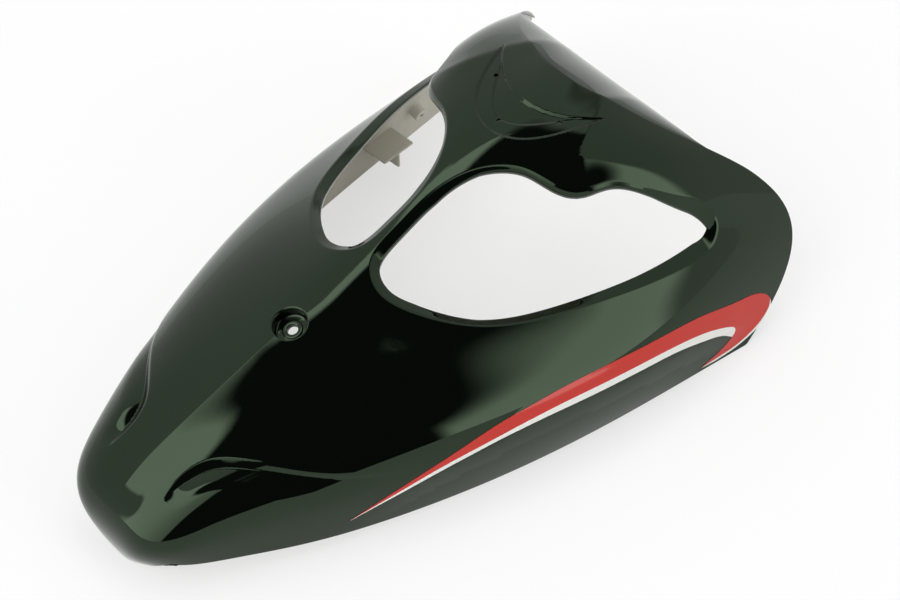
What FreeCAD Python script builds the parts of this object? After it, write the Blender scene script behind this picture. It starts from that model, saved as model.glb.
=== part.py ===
import FreeCAD, Part
import os

from FreeCAD import Placement, Rotation, Vector

# Front cowl of a scooter: one moulded shell with two headlight openings, a fixing hole on its ridge and an empty
# badge recess under its top edge, and a film stripe on each flank. The cowl lies on its open side, as on a bench:
# X runs to its right, Y from the nose to the top edge, Z up through the outer skin, in millimetres. The origin is
# the middle of the footprint.

document = FreeCAD.newDocument("front_cowl")
sheet = document.addObject("Spreadsheet::Sheet", "Sizes")

# Sizes of the walls, openings, fixings and film. A distance along the cowl is measured from the chin's datum.
SIZES = {
    "origin_setback": 261.0,
    "wall": 2.5,
    "seat_overlap": 1.0,
    "crown_chin": 12.0,
    "crown_top": 24.0,
    "lip_thickness": 3.0,
    "bridge_lip_inset": 6.5,
    "bridge_lip_drop": 9.0,
    "top_lip_inset": 5.0,
    "top_lip_drop": 4.0,
    "rear_lip_inset": 3.0,
    "rear_lip_drop": 2.0,
    "side_lip_inset": 7.0,
    "side_lip_drop": 8.0,
    "front_lip_inset": 8.0,
    "front_lip_drop": 4.0,
    "tongue_half_width": 97.0,
    "screw_along": 164.0,
    "screw_recess_radius": 12.5,
    "screw_recess_depth": 9.0,
    "screw_hole_radius": 4.0,
    "badge_depth": 1.2,
    "badge_pin_radius": 2.0,
    "badge_pin_spread": 33.0,
    "badge_pin_along": 391.0,
    "badge_centre_pin_along": 363.0,
    "swoosh_depth": 3.0,
    "swoosh_width": 10.0,
    "boss_along": 424.0,
    "boss_height": 34.0,
    "boss_radius": 6.0,
    "boss_length": 11.0,
    "pilot_radius": 1.75,
    "pilot_depth": 8.0,
    "lug_along": 385.0,
    "lug_height": 24.0,
    "lug_reach": 26.0,
    "lug_length": 32.0,
    "lug_web_depth": 14.0,
    "film_thickness": 0.2,
}

# Guide lines of the outer skin, from the chin to the top edge, one column for each station: how far the ridge has
# come from the chin, its height, and for each line beside it the half width, the sweep behind the ridge and the
# height. None stands for a point on the bench.
STATIONS = ("chin", "lip", "nose", "snout", "mask", "eyes", "brow", "top")
GUIDES = {
    "ridge_along": (-2, -14, 9, 78, 179, 281, 357, 422),
    "ridge_height": (None, 36, 65, 86, 116, 146, 184, 187),
    "cheek_width": (22, 34, 37, 49, 66, 56, 103, 92),
    "cheek_sweep": (2, -2, 5, 9, 15, 29, 45, 35),
    "cheek_height": (4, 34, 70, 89, 111, 131, 192, 164),
    "flank_width": (35, 49, 60, 89, 119, 117, 127, 136),
    "flank_sweep": (5, 9, 18, 24, 33, 52, 70, 126),
    "flank_height": (11, 36, 60, 76, 93, 91, 101, 82),
    "skirt_width": (43, 56, 71, 103, 144, 172, 171, 163),
    "skirt_sweep": (6, 23, 35, 34, 44, 52, 59, 101),
    "skirt_height": (18, 30, 43, 48, 57, 65, 44, 36),
    "rim_width": (50, 59, 73, 103, 135, 156, 165, 171),
    "rim_sweep": (12, 32, 39, 31, 40, 46, 52, 38),
    "rim_height": (22, 20, 17, 10, 2, None, None, None),
}


def write_cell(cell, alias, value):
    """Puts one plain number into the sheet, under its alias."""
    sheet.set(cell, str(value))
    sheet.setAlias(cell, alias)


row = 0
for alias, value in SIZES.items():
    row += 1
    sheet.set(f"A{row}", alias)
    write_cell(f"B{row}", alias, value)
for line, values in GUIDES.items():
    row += 1
    sheet.set(f"A{row}", line)
    for column, station, value in zip("BCDEFGHI", STATIONS, values):
        if value is not None:
            write_cell(f"{column}{row}", f"{line}_{station}", value)
document.recompute()


def size(alias):
    """The number in the sheet under this alias."""
    return float(sheet.get(alias))


def guide(line, station):
    """One guide-line size, or zero where the line lies on the bench."""
    index = STATIONS.index(station)
    return 0.0 if GUIDES[line][index] is None else size(f"{line}_{station}")


def along(distance):
    """Y of a point this far from the chin's datum."""
    return distance - size("origin_setback")


def held(name, shape):
    """A document object that holds a shape built here."""
    feature = document.addObject("Part::Feature", name)
    feature.Shape = shape
    return feature


# Outer skin: a net of poles, half of it mirrored about the middle plane, under one cubic surface.
DEGREE = 3
LINES = ("cheek", "flank", "skirt", "rim")


def half_section(index):
    """Poles of one section, from the ridge out to the rim. The crown beside the ridge is level."""
    station = STATIONS[index]
    start = along(guide("ridge_along", station))
    height = guide("ridge_height", station)
    share = index / (len(STATIONS) - 1)
    crown = size("crown_chin") + share * (size("crown_top") - size("crown_chin"))
    poles = [Vector(0, start, height), Vector(crown, start, height)]
    for line in LINES:
        sweep = guide(f"{line}_sweep", station)
        poles.append(Vector(guide(f"{line}_width", station), start + sweep, guide(f"{line}_height", station)))
    return poles


def mirrored(point):
    """The same point on the other side of the middle plane."""
    return Vector(-point.x, point.y, point.z)


def full_section(index):
    """Poles of one section from the left rim over the ridge to the right rim."""
    half = half_section(index)
    left = [mirrored(pole) for pole in reversed(half[1:])]
    return left + half


def clamped_knots(count):
    """Knots and multiplicities of a clamped, evenly spaced cubic with this many poles."""
    spans = count - DEGREE
    knots = [i / spans for i in range(spans + 1)]
    repeats = [DEGREE + 1] + [1] * (spans - 1) + [DEGREE + 1]
    return knots, repeats


def surface_of(net):
    """The cubic surface over a net of poles: first parameter along the cowl, second across it."""
    along_knots, along_repeats = clamped_knots(len(net))
    across_knots, across_repeats = clamped_knots(len(net[0]))
    surface = Part.BSplineSurface()
    surface.buildFromPolesMultsKnots(net, along_repeats, across_repeats, along_knots, across_knots,
                                     False, False, DEGREE, DEGREE)
    return surface


def pole_places(count):
    """The parameter at which each pole of a clamped cubic acts most."""
    knots, repeats = clamped_knots(count)
    flat = [knot for knot, repeat in zip(knots, repeats) for _ in range(repeat)]
    return [sum(flat[i + 1:i + 1 + DEGREE]) / DEGREE for i in range(count)]


def outward(surface, u, v):
    """The surface's normal, pointing out of the cowl."""
    normal = surface.normal(u, v)
    return normal if surface.normal(0.5, 0.5).z > 0 else normal * -1


def inset_net(net, depth):
    """The net moved into the cowl by a depth, along the skin's normals, with its rim kept level."""
    surface = surface_of(net)
    across_places = pole_places(len(net[0]))
    moved = []
    for u, section in zip(pole_places(len(net)), net):
        poles = [pole - outward(surface, u, v) * depth for v, pole in zip(across_places, section)]
        poles[0].z = section[0].z
        poles[-1].z = section[-1].z
        moved.append(poles)
    return moved


def raised_net(net, rise):
    """The net lifted straight up."""
    return [[pole + Vector(0, 0, rise) for pole in section] for section in net]


def solid_between(upper_net, lower_net):
    """The solid between two skins, closed round their edges by ruled faces."""
    upper = surface_of(upper_net).toShape()
    lower = surface_of(lower_net).toShape()
    sides = [Part.makeRuledSurface(a, b) for a, b in zip(upper.Edges, lower.Edges)]
    shell = Part.Shell([upper, lower] + sides)
    shell.sewShape()
    solid = Part.Solid(shell)
    if solid.Volume < 0:
        solid.reverse()
    return solid


skin_net = [full_section(index) for index in range(len(STATIONS))]
skin = surface_of(skin_net)
wall_blank = held("wall_blank", solid_between(skin_net, inset_net(skin_net, size("wall"))))


def skin_crossings(start, direction):
    """Points where a straight line through start meets the outer skin."""
    line = Part.Line(start, start + direction)
    points, _ = line.intersectCS(skin)
    return [Vector(point.X, point.Y, point.Z) for point in points]


def on_roof(x, y):
    """The point of the outer skin straight above a place in plan."""
    return max(skin_crossings(Vector(x, y, 0), Vector(0, 0, 1)), key=lambda point: point.z)


def on_flank(y, z):
    """The point of the outer skin on the right flank at this place in side view."""
    return max(skin_crossings(Vector(0, y, z), Vector(1, 0, 0)), key=lambda point: point.x)


def normal_at(point):
    """The skin's outward normal at a point on it."""
    u, v = skin.parameter(point)
    return outward(skin, u, v)


def down(depth):
    """A step straight down."""
    return Vector(0, 0, -depth)


def reflected(name, source):
    """The mirror image of an object on the other side of the middle plane."""
    image = document.addObject("Part::Mirroring", name)
    image.Source = source
    image.Base = Vector(0, 0, 0)
    image.Normal = Vector(1, 0, 0)
    return image


def pair(name, shape):
    """A shape built on the right, with its mirror image on the left."""
    right = held(f"{name}_right", shape)
    return [right, reflected(f"{name}_left", right)]


def smooth_curve(points, closed=False):
    """A smooth curve through points."""
    curve = Part.BSplineCurve()
    curve.interpolate(Points=points, PeriodicFlag=closed)
    return curve


# Headlight openings: an outline in plan, by half width and distance along, with the zone of the turned-in lip at
# each point. The lip slopes from the skin down to the edge of the hole.
EYE_OUTLINE = (
    (3, 262, "bridge"), (4, 295, "bridge"), (17, 329, "top"), (42, 350, "top"), (63, 358, "top"),
    (75, 366, "rear"), (84, 388, "rear"), (101, 416, "rear"), (115, 443, "rear"), (124, 455, "rear"),
    (133, 453, "rear"), (137, 436, "side"), (131, 380, "side"), (113, 318, "side"), (88, 263, "side"),
    (53, 230, "front"), (27, 222, "front"), (9, 232, "bridge"),
)
OVER_ALL = 250.0
LIP_STEPS = 4

eye_plan = [Vector(x, along(distance), 0) for x, distance, _ in EYE_OUTLINE]
eye_zones = [zone for _, _, zone in EYE_OUTLINE]
eye_curve = smooth_curve(eye_plan, closed=True)


def lip_places():
    """Places round the outline: a point on it, the direction into the hole, and the lip's inset and drop there, both
    blended from one outline point to the next."""
    marks = [eye_curve.parameter(point) for point in eye_plan] + [eye_curve.LastParameter]
    zones = eye_zones + eye_zones[:1]
    for index in range(len(eye_plan)):
        for step in range(LIP_STEPS):
            share = step / LIP_STEPS
            place = marks[index] + share * (marks[index + 1] - marks[index])
            tangent = eye_curve.tangent(place)[0]
            inside = Vector(tangent.y, -tangent.x, 0)
            here, ahead = zones[index], zones[index + 1]
            inset = (1 - share) * size(f"{here}_lip_inset") + share * size(f"{ahead}_lip_inset")
            drop = (1 - share) * size(f"{here}_lip_drop") + share * size(f"{ahead}_lip_drop")
            yield eye_curve.value(place), inside, inset, drop


def lip_curve(points):
    """A closed curve through the lip's points, evenly spaced, so that upper and lower edge match point by point."""
    curve = Part.BSplineCurve()
    curve.interpolate(Points=points, PeriodicFlag=True, Parameters=list(range(len(points) + 1)))
    return curve.toShape()


lip_upper = []
lip_lower = []
for point, inside, inset, drop in lip_places():
    start = point - inside * size("seat_overlap")
    end = point + inside * inset
    lip_upper.append(on_roof(start.x, start.y) + down(size("seat_overlap") / 2))
    lip_lower.append(on_roof(end.x, end.y) + down(drop))
lip_strip = Part.makeRuledSurface(lip_curve(lip_upper), lip_curve(lip_lower))
eye_lips = pair("eye_lip", lip_strip.extrude(down(size("lip_thickness"))))
eye_face = Part.Face(Part.Wire(eye_curve.toShape()))
eye_holes = pair("eye_hole", eye_face.extrude(Vector(0, 0, OVER_ALL)))

# Tongue: the flat facet behind the brow, from under the skin's top edge back to a straight rear edge, whose ends lie
# on that top edge.
def edge_place(curve, half_width):
    """The parameter at which a curve across the cowl is this far right of the middle plane."""
    points, _ = curve.intersectCS(Part.Plane(Vector(half_width, 0, 0), Vector(1, 0, 0)))
    return curve.parameter(Vector(points[0].X, points[0].Y, points[0].Z))


top_edge = skin.uIso(1)
rear_corner = top_edge.value(edge_place(top_edge, size("tongue_half_width"))) + down(size("seat_overlap") / 2)
rear_edge = Part.makeLine(mirrored(rear_corner), rear_corner)
seat_in_wall = size("wall") + size("seat_overlap")
crease = skin.uIso(skin.parameter(on_roof(0, along(guide("ridge_along", "top")) - seat_in_wall))[0])
crease_end = edge_place(crease, size("tongue_half_width") - seat_in_wall)
crease.segment(1 - crease_end, crease_end)
crease.translate(down(size("seat_overlap")))
tongue_strip = Part.makeRuledSurface(crease.toShape(), rear_edge)
tongue = held("tongue", tongue_strip.extrude(down(size("wall"))))

# Fixing hole: a cup sunk square to the skin on the ridge, with a screw hole through its floor.
CLEAR = 10.0


def cylinder(name, radius, height, base, axis):
    """A cylinder whose radius and height are sheet expressions, standing on base along axis."""
    round_bar = document.addObject("Part::Cylinder", name)
    round_bar.setExpression("Radius", radius)
    round_bar.setExpression("Height", height)
    round_bar.Placement = Placement(base, Rotation(Vector(0, 0, 1), axis))
    return round_bar


screw_point = on_roof(0, along(size("screw_along")))
screw_axis = normal_at(screw_point)
cup_floor = screw_point - screw_axis * size("screw_recess_depth")
cup_base = cup_floor - screw_axis * size("wall")
screw_cup = cylinder("screw_cup", "Sizes.screw_recess_radius + Sizes.wall",
                     "Sizes.screw_recess_depth + Sizes.wall - Sizes.seat_overlap", cup_base, screw_axis)
screw_recess = cylinder("screw_recess", "Sizes.screw_recess_radius", f"Sizes.screw_recess_depth + {CLEAR}",
                        cup_floor, screw_axis)
screw_hole = cylinder("screw_hole", "Sizes.screw_hole_radius", f"Sizes.screw_recess_depth + {2 * CLEAR}",
                      cup_floor - screw_axis * CLEAR, screw_axis)

# Badge recess: a shallow winged pocket parallel to the skin, by half width and distance along, with three pin holes.
BADGE_LOWER = ((53, 421), (42, 387), (27, 364), (0, 352))
BADGE_UPPER = ((53, 421), (29, 396), (0, 387))


def winged_edge(half):
    """A smooth symmetric edge from the left tip to the right tip."""
    right = [Vector(x, along(distance), 0) for x, distance in half]
    left = [mirrored(point) for point in right[:-1]]
    return smooth_curve(left + right[::-1]).toShape()


badge_plan = Part.Face(Part.Wire([winged_edge(BADGE_LOWER), winged_edge(BADGE_UPPER)]))
badge_prism = held("badge_prism", badge_plan.extrude(Vector(0, 0, OVER_ALL)))
badge_layer = held("badge_layer", solid_between(raised_net(skin_net, CLEAR), raised_net(skin_net, -size("badge_depth"))))
badge_pocket = document.addObject("Part::Common", "badge_pocket")
badge_pocket.Base = badge_layer
badge_pocket.Tool = badge_prism


def pin_hole(name, x, distance):
    """A small hole square to the skin for one of the badge's pins."""
    point = on_roof(x, along(distance))
    axis = normal_at(point)
    return cylinder(name, "Sizes.badge_pin_radius", f"{2 * CLEAR}", point - axis * CLEAR, axis)


spread = size("badge_pin_spread")
badge_pins = [
    pin_hole("badge_pin_right", spread, size("badge_pin_along")),
    pin_hole("badge_pin_left", -spread, size("badge_pin_along")),
    pin_hole("badge_pin_centre", 0, size("badge_centre_pin_along")),
]

# Swooshes: a scoop beside the nose with a sharp upper edge, given in plan by half width and distance along, and the
# share of its full width and depth at each point. It runs out to nothing below the edge and towards the flank.
SWOOSH_EDGE = ((30, 24, 0.15), (30, 40, 0.6), (34, 58, 1.0), (48, 74, 0.9), (70, 91, 0.4))
FEATHER = 0.3


def swoosh_sections(sunk, margin):
    """Triangles along the swoosh, square to the skin: over its sharp edge, under it, and out where the scoop ends,
    all of it sunk below the skin and widened by a margin."""
    plan = [Vector(x, along(distance), 0) for x, distance, _ in SWOOSH_EDGE]
    edge = smooth_curve(plan)
    sections = []
    for point, (_, _, share) in zip(plan, SWOOSH_EDGE):
        tangent = edge.tangent(edge.parameter(point))[0]
        outer = Vector(tangent.y, -tangent.x, 0)
        start = point - outer * margin
        far = point + outer * (share * size("swoosh_width") + margin)
        seat = on_roof(start.x, start.y)
        ends = on_roof(far.x, far.y)
        normal = normal_at(seat)
        upper = seat - normal * sunk
        lower = seat - normal * (share * size("swoosh_depth") + margin)
        outer_end = ends - normal_at(ends) * sunk
        sections.append(Part.makePolygon([upper, lower, outer_end, upper]))
    return sections


swoosh_cuts = pair("swoosh_cut", Part.makeLoft(swoosh_sections(-FEATHER, 0), True))
swoosh_pads = pair("swoosh_pad", Part.makeLoft(swoosh_sections(size("seat_overlap"), size("wall")), True))

# Fixings inside each flank: a round boss with a pilot hole, and a lug of a plate on a web.
boss_point = on_flank(along(size("boss_along")), size("boss_height"))
boss_inward = normal_at(boss_point) * -1
boss_seat = boss_point + boss_inward * size("seat_overlap")
boss_mouth = boss_seat + boss_inward * size("boss_length")
boss = cylinder("boss_right", "Sizes.boss_radius", "Sizes.boss_length", boss_seat, boss_inward)
pilot = cylinder("pilot_right", "Sizes.pilot_radius", f"Sizes.pilot_depth + {CLEAR}",
                 boss_mouth - boss_inward * size("pilot_depth"), boss_inward)
bosses = [boss, reflected("boss_left", boss)]
pilots = [pilot, reflected("pilot_left", pilot)]

lug_point = on_flank(along(size("lug_along")), size("lug_height"))
lug_inward = normal_at(lug_point) * -1
lug_inward.z = 0
lug_inward.normalize()
lug_turn = Rotation(lug_inward, Vector(0, 0, 1).cross(lug_inward), Vector(0, 0, 1), "XYZ")


def lug_bar(name, length, width, height, corner):
    """A bar of the lug, its sizes given as sheet expressions, its corner in the lug's own axes."""
    bar = document.addObject("Part::Box", name)
    bar.setExpression("Length", length)
    bar.setExpression("Width", width)
    bar.setExpression("Height", height)
    bar.Placement = Placement(lug_point + lug_turn.multVec(corner), lug_turn)
    return bar


lug_seat = size("seat_overlap")
lug_plate = lug_bar("lug_plate_right", "Sizes.lug_reach", "Sizes.lug_length", "Sizes.wall",
                    Vector(lug_seat, -size("lug_length") / 2, 0))
lug_web = lug_bar("lug_web_right", "Sizes.lug_reach", "Sizes.wall", "Sizes.lug_web_depth",
                  Vector(lug_seat, -size("wall") / 2, -size("lug_web_depth")))
lugs = [lug_plate, lug_web, reflected("lug_plate_left", lug_plate), reflected("lug_web_left", lug_web)]


# Cowl: the wall with its openings cut, everything moulded on it joined, and the recesses and holes cut last.
def cut_by(name, base, tools):
    """The base with all the tools taken away."""
    tool = document.addObject("Part::MultiFuse", f"{name}_tools")
    tool.Shapes = tools
    cut = document.addObject("Part::Cut", name)
    cut.Base = base
    cut.Tool = tool
    return cut


pierced_wall = cut_by("pierced_wall", wall_blank, eye_holes)
moulding = document.addObject("Part::MultiFuse", "moulding")
moulding.Shapes = [pierced_wall, tongue, screw_cup] + eye_lips + swoosh_pads + bosses + lugs
recesses = [screw_recess, screw_hole, badge_pocket] + badge_pins + swoosh_cuts + pilots
cowl = cut_by("cowl", moulding, recesses)
cowl.Label = "front_cowl"

# Film stripes: one film on each flank that follows the skin, its outline given in side view by distance along and
# height. The upper edge runs from the thin front tip to the rear, where the stripe hooks down to a second tip.
STRIPE_UPPER = ((123, 23), (165, 42), (230, 61), (290, 67), (349, 64), (417, 55), (465, 42), (482, 32))
STRIPE_REAR = ((482, 32), (479, 23), (466, 13), (446, 7), (414, 4))
STRIPE_HOOK = ((414, 4), (434, 12), (448, 20))
STRIPE_LOWER = ((448, 20), (429, 31), (390, 40), (325, 49), (282, 53), (241, 51), (190, 43), (123, 23))


def side_edge(places):
    """A smooth edge in side view."""
    return smooth_curve([Vector(0, along(distance), height) for distance, height in places]).toShape()


stripe_outline = Part.Wire([side_edge(places) for places in (STRIPE_UPPER, STRIPE_REAR, STRIPE_HOOK, STRIPE_LOWER)])
stripe_prism = held("stripe_prism", Part.Face(stripe_outline).extrude(Vector(OVER_ALL, 0, 0)))
film_layer = held("film_layer", solid_between(inset_net(skin_net, -size("film_thickness")), skin_net))
stripe = document.addObject("Part::Common", "stripe_right")
stripe.Base = film_layer
stripe.Tool = stripe_prism
stripe.Label = "side_stripe_right"
stripe_left = reflected("stripe_left", stripe)
stripe_left.Label = "side_stripe_left"

# Every object is sound before anything is written.
document.recompute()
for item in document.Objects:
    if "Invalid" in item.State or "Error" in item.State:
        raise RuntimeError(f"{item.Name} failed to build: {item.State}")
    if hasattr(item, "Shape") and (item.Shape.isNull() or not item.Shape.isValid()):
        raise RuntimeError(f"{item.Name} has no sound shape")

os.makedirs("parts", exist_ok=True)
for node in (cowl, stripe, stripe_left):
    if len(node.Shape.Solids) != 1:
        raise RuntimeError(f"{node.Label} is {len(node.Shape.Solids)} solids, not one")
    node.Shape.exportStep(f"parts/{node.Label}.step")
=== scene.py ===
import bmesh
import bpy
import numpy as np
from mathutils import Matrix


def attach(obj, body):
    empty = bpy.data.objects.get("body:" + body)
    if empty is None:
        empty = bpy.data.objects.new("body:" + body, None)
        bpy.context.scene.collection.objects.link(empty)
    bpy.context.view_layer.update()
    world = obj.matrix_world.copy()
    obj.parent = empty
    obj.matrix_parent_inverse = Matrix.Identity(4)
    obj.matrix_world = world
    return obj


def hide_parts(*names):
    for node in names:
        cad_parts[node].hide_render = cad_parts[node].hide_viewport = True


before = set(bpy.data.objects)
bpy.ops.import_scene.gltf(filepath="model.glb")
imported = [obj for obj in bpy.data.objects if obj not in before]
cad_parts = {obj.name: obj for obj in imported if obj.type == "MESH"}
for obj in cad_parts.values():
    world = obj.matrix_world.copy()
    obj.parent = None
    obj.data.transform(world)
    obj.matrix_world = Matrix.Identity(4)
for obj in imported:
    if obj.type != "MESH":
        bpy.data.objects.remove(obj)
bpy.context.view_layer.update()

# Outer skin: the shell is one injection moulding, lacquered black outside. Its face is one cubic surface
# over a net of poles that is mirrored about the middle plane. Lengths are millimetres until a mesh is made,
# and a distance along the cowl is measured from the chin's datum.
METRE = 1000.0
SETBACK = 261.0
STATIONS = 8
RIDGE_ALONG = (-2, -14, 9, 78, 179, 281, 357, 422)
RIDGE_HEIGHT = (0, 36, 65, 86, 116, 146, 184, 187)
CROWN_CHIN, CROWN_TOP = 12.0, 24.0
SIDE_WIDTHS = (
    (22, 34, 37, 49, 66, 56, 103, 92),
    (35, 49, 60, 89, 119, 117, 127, 136),
    (43, 56, 71, 103, 144, 172, 171, 163),
    (50, 59, 73, 103, 135, 156, 165, 171),
)
SIDE_SWEEPS = (
    (2, -2, 5, 9, 15, 29, 45, 35),
    (5, 9, 18, 24, 33, 52, 70, 126),
    (6, 23, 35, 34, 44, 52, 59, 101),
    (12, 32, 39, 31, 40, 46, 52, 38),
)
SIDE_HEIGHTS = (
    (4, 34, 70, 89, 111, 131, 192, 164),
    (11, 36, 60, 76, 93, 91, 101, 82),
    (18, 30, 43, 48, 57, 65, 44, 36),
    (22, 20, 17, 10, 2, 0, 0, 0),
)


def pole_net():
    """Poles from the left rim over the ridge to the right rim: each side line has its half width, its sweep
    behind the ridge and its height, and the crown beside the ridge is level."""
    start = np.array(RIDGE_ALONG) - SETBACK
    height = np.array(RIDGE_HEIGHT, float)
    crown = np.linspace(CROWN_CHIN, CROWN_TOP, STATIONS)
    lines = [np.stack([np.zeros(STATIONS), start, height], 1), np.stack([crown, start, height], 1)]
    for width, sweep, level in zip(SIDE_WIDTHS, SIDE_SWEEPS, SIDE_HEIGHTS):
        lines.append(np.stack([width, start + sweep, level], 1))
    half = np.stack(lines, 1)
    return np.concatenate([half[:, :0:-1] * (-1, 1, 1), half], 1)


POLES = pole_net()


def basis(count, place):
    """Weights of a clamped, evenly spaced cubic at each place, by the Cox-de Boor recursion."""
    knots = np.concatenate([np.zeros(3), np.linspace(0, 1, count - 2), np.ones(3)])
    place = np.clip(place, 0, 1 - 1e-9)[:, None]
    weight = ((place >= knots[:-1]) & (place < knots[1:])).astype(float)
    for degree in (1, 2, 3):
        rise = knots[degree:-1] - knots[:-degree - 1]
        fall = knots[degree + 1:] - knots[1:-degree]
        up = (place - knots[:-degree - 1]) / np.where(rise > 0, rise, 1)
        down = (knots[degree + 1:] - place) / np.where(fall > 0, fall, 1)
        weight = up * weight[:, :-1] + down * weight[:, 1:]
    return weight


def skin(u, v):
    """Smooth skin: sum of poles, weighted by the cubic basis along the cowl (u) and across it (v)."""
    along = basis(STATIONS, u.ravel())
    across = basis(POLES.shape[1], v.ravel())
    rows = np.einsum("ni,ijk->njk", along, POLES)
    return np.einsum("nj,njk->nk", across, rows).reshape(u.shape + (3,))


# Badge recess: a shallow winged pocket that the mould forms under the top edge, with a second step inside
# it. Its lines are given by half width and distance along, and it lies above a height of the skin.
BADGE_LOWER = ((27, 364), (42, 387), (53, 421))
BADGE_LOWER_MIDDLE = 352.0
BADGE_UPPER = ((29, 396), (53, 421))
BADGE_UPPER_MIDDLE = 387.0
BADGE_STEP = ((33, 391), (53, 421))
BADGE_STEP_MIDDLE = 363.0
BADGE_DEPTH, BADGE_STEP_DEPTH, BADGE_WALL = 1.2, 0.6, 2.0
BADGE_REACH, BADGE_ABOVE = 60, 150


def ease(value, low, high):
    """Smooth step: 0 below low, 1 above high."""
    share = np.clip((value - low) / (high - low), 0, 1)
    return share * share * (3 - 2 * share)


def even_line(middle, points, x):
    """Symmetric line through its middle and some points: a polynomial in the square of x, and its slant."""
    places = np.array(points, float)
    powers = np.arange(1, len(points) + 1)
    terms = np.linalg.solve(places[:, :1] ** (2 * powers), places[:, 1] - middle)
    rise = (2 * powers * np.abs(x)[..., None] ** (2 * powers - 1)) @ terms
    return middle + (np.abs(x)[..., None] ** (2 * powers)) @ terms, np.sqrt(1 + rise ** 2)


def badge_relief(x, along):
    """Depth of the badge recess: eased walls at its lower and upper line, a step at its inner line."""
    x = np.clip(x, -BADGE_REACH, BADGE_REACH)
    lower, lower_slant = even_line(BADGE_LOWER_MIDDLE, BADGE_LOWER, x)
    upper, upper_slant = even_line(BADGE_UPPER_MIDDLE, BADGE_UPPER, x)
    inner, inner_slant = even_line(BADGE_STEP_MIDDLE, BADGE_STEP, x)
    inside = np.minimum((along - lower) / lower_slant, (upper - along) / upper_slant)
    wall = ease(inside, 0, BADGE_WALL)
    step = ease((along - inner) / inner_slant, 0, BADGE_WALL) * wall
    return BADGE_DEPTH * wall + BADGE_STEP_DEPTH * step


# Nose scoops: the mould sinks a curved scoop into each side of the nose. Under a sharp upper edge a
# straight wall falls to a straight floor that rises back to the skin. The edge is given by half width,
# distance along and the share of the full depth there.
SCOOP_EDGE = (
    (30, 24, 0.0), (28.5, 40, 0.6), (34, 60, 1.0), (48, 75, 0.95),
    (71, 94, 0.6), (97, 125, 0.25), (116, 163, 0.0),
)
SCOOP_DEPTH, SCOOP_WIDTH, SCOOP_WALL, SCOOP_ROUND = 4.6, 12.0, 6.0, 0.8
SCOOP_END_WIDTH, SCOOP_END_WALL = 0.4, 0.05
SCOOP_FLOOR_BLEND, SCOOP_FOOT_BLEND = 0.3, 0.15
SCOOP_RUN = np.array([0.6, 0.8])
SCOOP_HALF_WIDTHS, SCOOP_LENGTHS, SCOOP_ABOVE = (14, 140), (0, 190), 25


def spline(points, steps, closed=False):
    """Smooth curve through points: cubic spans whose second slopes solve the usual band of equations, the
    spans as long as their chords. Each span gives that many places, and an open curve ends with its last
    point."""
    points = np.array(points, float)
    ahead = np.roll(points, -1, axis=0)
    chord = np.linalg.norm((ahead - points)[:, :2], axis=1)[:, None]
    rate = (ahead - points) / chord
    count = len(points)
    band = np.diag(2 * (chord + np.roll(chord, 1))[:, 0])
    index = np.arange(count)
    band[index, index - 1] = np.roll(chord, 1)[:, 0]
    band[index, (index + 1) % count] = chord[:, 0]
    pull = 6 * (rate - np.roll(rate, 1, axis=0))
    if not closed:
        band[[0, -1]] = 0
        band[0, 0] = band[-1, -1] = 1
        pull[[0, -1]] = 0
    bend = np.linalg.solve(band, pull)
    far = np.linspace(0, 1, steps, endpoint=False)[None, :, None]
    near = 1 - far
    spans = near * points[:, None] + far * ahead[:, None]
    curl = (near ** 3 - near) * bend[:, None] + (far ** 3 - far) * np.roll(bend, -1, axis=0)[:, None]
    curve = spans + curl * (chord ** 2)[:, None] / 6
    if closed:
        return curve.reshape(-1, points.shape[1])
    return np.concatenate([curve[:-1].reshape(-1, points.shape[1]), points[-1:]])


def nearest(points, line):
    """For each point, the signed distance to a line of places in plan (left of its run is positive), and
    how far along the line its nearest place is."""
    ends = line[1:, :2] - line[:-1, :2]
    length = (ends ** 2).sum(1)
    away = points[:, None, :] - line[None, :-1, :2]
    share = np.clip((away * ends).sum(2) / length, 0, 1)
    gap = away - share[..., None] * ends
    square = (gap ** 2).sum(2)
    best = square.argmin(1)
    index = np.arange(len(points))
    run = ends[best]
    side = np.sign(run[:, 0] * gap[index, best, 1] - run[:, 1] * gap[index, best, 0])
    return side * np.sqrt(square[index, best]), best + share[index, best]


def above(value, blend):
    """A value where it is above nothing, eased over the blend to either side."""
    return np.where(value > blend, value, np.clip(value + blend, 0, None) ** 2 / (4 * blend))


def within(value, limits):
    """Whether values lie between two limits."""
    return (value > limits[0]) & (value < limits[1])


SCOOP_LINE = spline(SCOOP_EDGE, 48)


def scoop_relief(x, along):
    """Depth of a nose scoop: the wall's straight fall, held down by the floor's straight rise, with eased
    corners, both scaled along the edge."""
    depth = np.zeros(x.shape)
    close = within(np.abs(x), SCOOP_HALF_WIDTHS) & within(along, SCOOP_LENGTHS)
    if close.any():
        points = np.stack([np.abs(x[close]), along[close]], 1)
        gap, _ = nearest(points, SCOOP_LINE)
        share = np.interp(points @ SCOOP_RUN, SCOOP_LINE[:, :2] @ SCOOP_RUN, SCOOP_LINE[:, 2])
        width = SCOOP_WIDTH * (SCOOP_END_WIDTH + (1 - SCOOP_END_WIDTH) * share)
        wall = SCOOP_WALL * (SCOOP_END_WALL + (1 - SCOOP_END_WALL) * share)
        inside = above(-gap, SCOOP_ROUND)
        fall = inside / wall
        rise = above(1 - (inside - wall) / width, SCOOP_FLOOR_BLEND)
        depth[close] = SCOOP_DEPTH * share * (fall - above(fall - rise, SCOOP_FOOT_BLEND))
    return depth


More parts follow.
